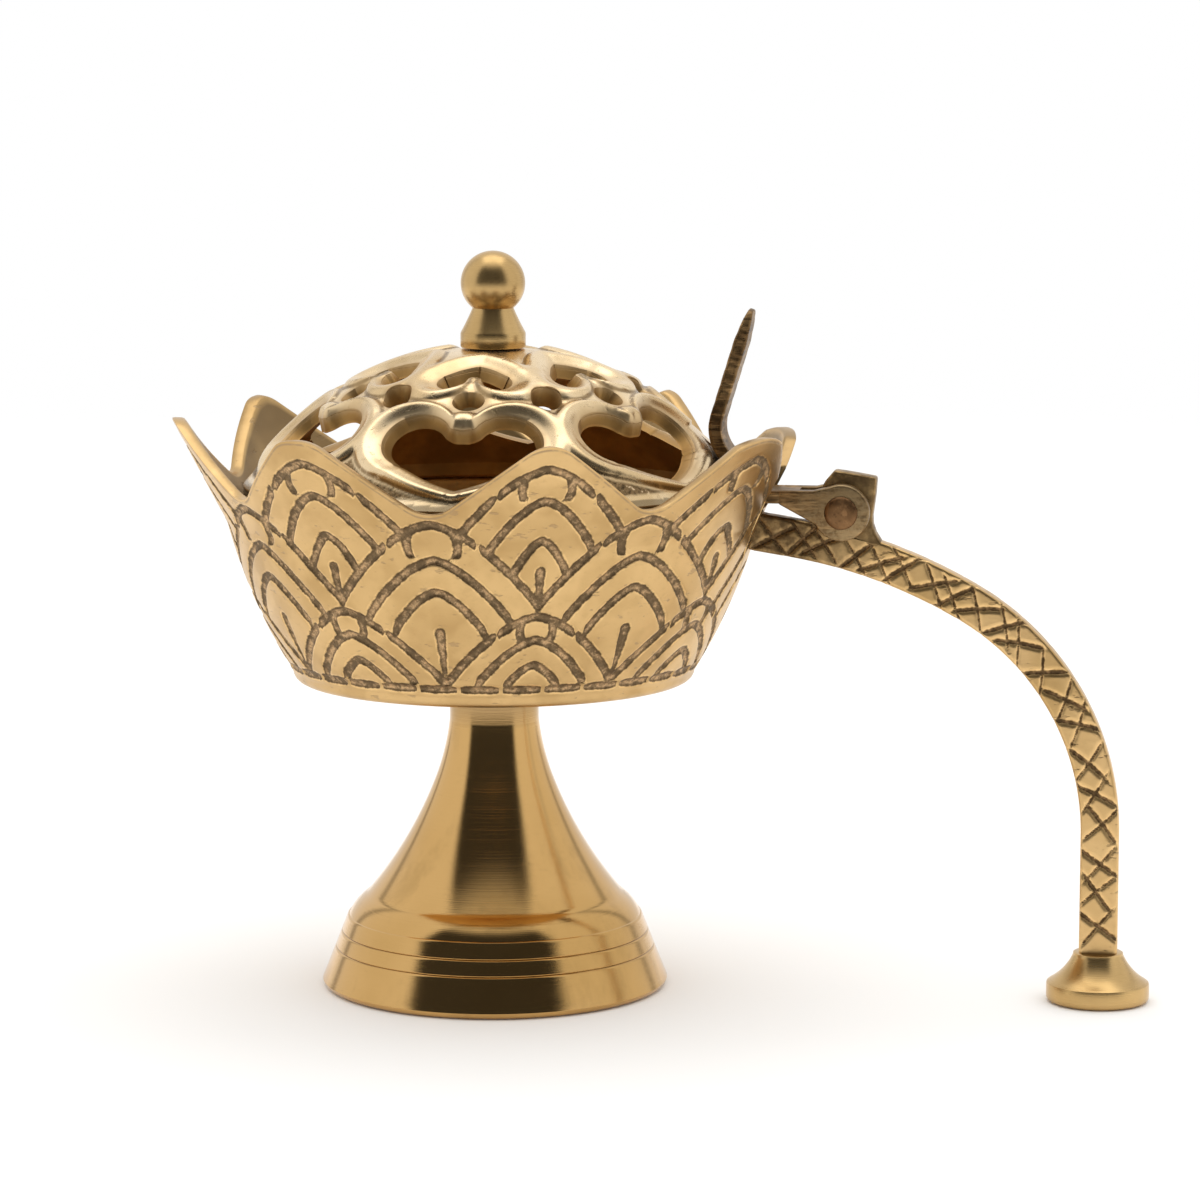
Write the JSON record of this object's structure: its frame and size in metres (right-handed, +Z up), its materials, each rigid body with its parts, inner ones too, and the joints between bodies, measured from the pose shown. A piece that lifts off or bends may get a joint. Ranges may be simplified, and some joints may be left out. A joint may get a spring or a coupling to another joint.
{
  "type": "incense burner",
  "caption": "Brass incense burner: petalled bowl on a turned pedestal, with a heart-pierced domed lid that hinges on a curved side handle by a thumb lever.",
  "frame": {"origin": "on the table, under the axis of the bowl and pedestal, at the pedestal's bottom face", "axes": "+Z up along the bowl's axis, +X towards the handle, +Y completes the right-handed set"},
  "size_m": [0.1179, 0.0746, 0.09],
  "materials": {
    "turned_brass": "turned and polished, with fine lathe lines",
    "cast_brass": "cast, engraved and polished, with dark grooves",
    "lid_brass": "cast, pierced and polished on the raised rings",
    "strap_brass": "tarnished and filed",
    "pin_brass": "reddish, peened",
    "screw_brass": "plain turned"
  },
  "bodies": {
    "base": {"pedestal": "turned_brass", "bowl": "cast_brass", "bowl_screw": "screw_brass", "handle": "cast_brass", "handle_rove": "screw_brass", "handle_foot": "turned_brass", "hinge_pin": "pin_brass"},
    "lid": {"lid_dome": "lid_brass", "lid_strap": "strap_brass", "strap_rivets": "pin_brass", "knob": "turned_brass", "knob_screw": "screw_brass"}
  },
  "joints": [
    {"name": "lid_hinge", "type": "hinge", "parent": "base", "child": "lid", "pos_m": [0.0426, 0, 0.0592], "axis": [0, 1, 0], "range_deg": [0, 105]}
  ]
}
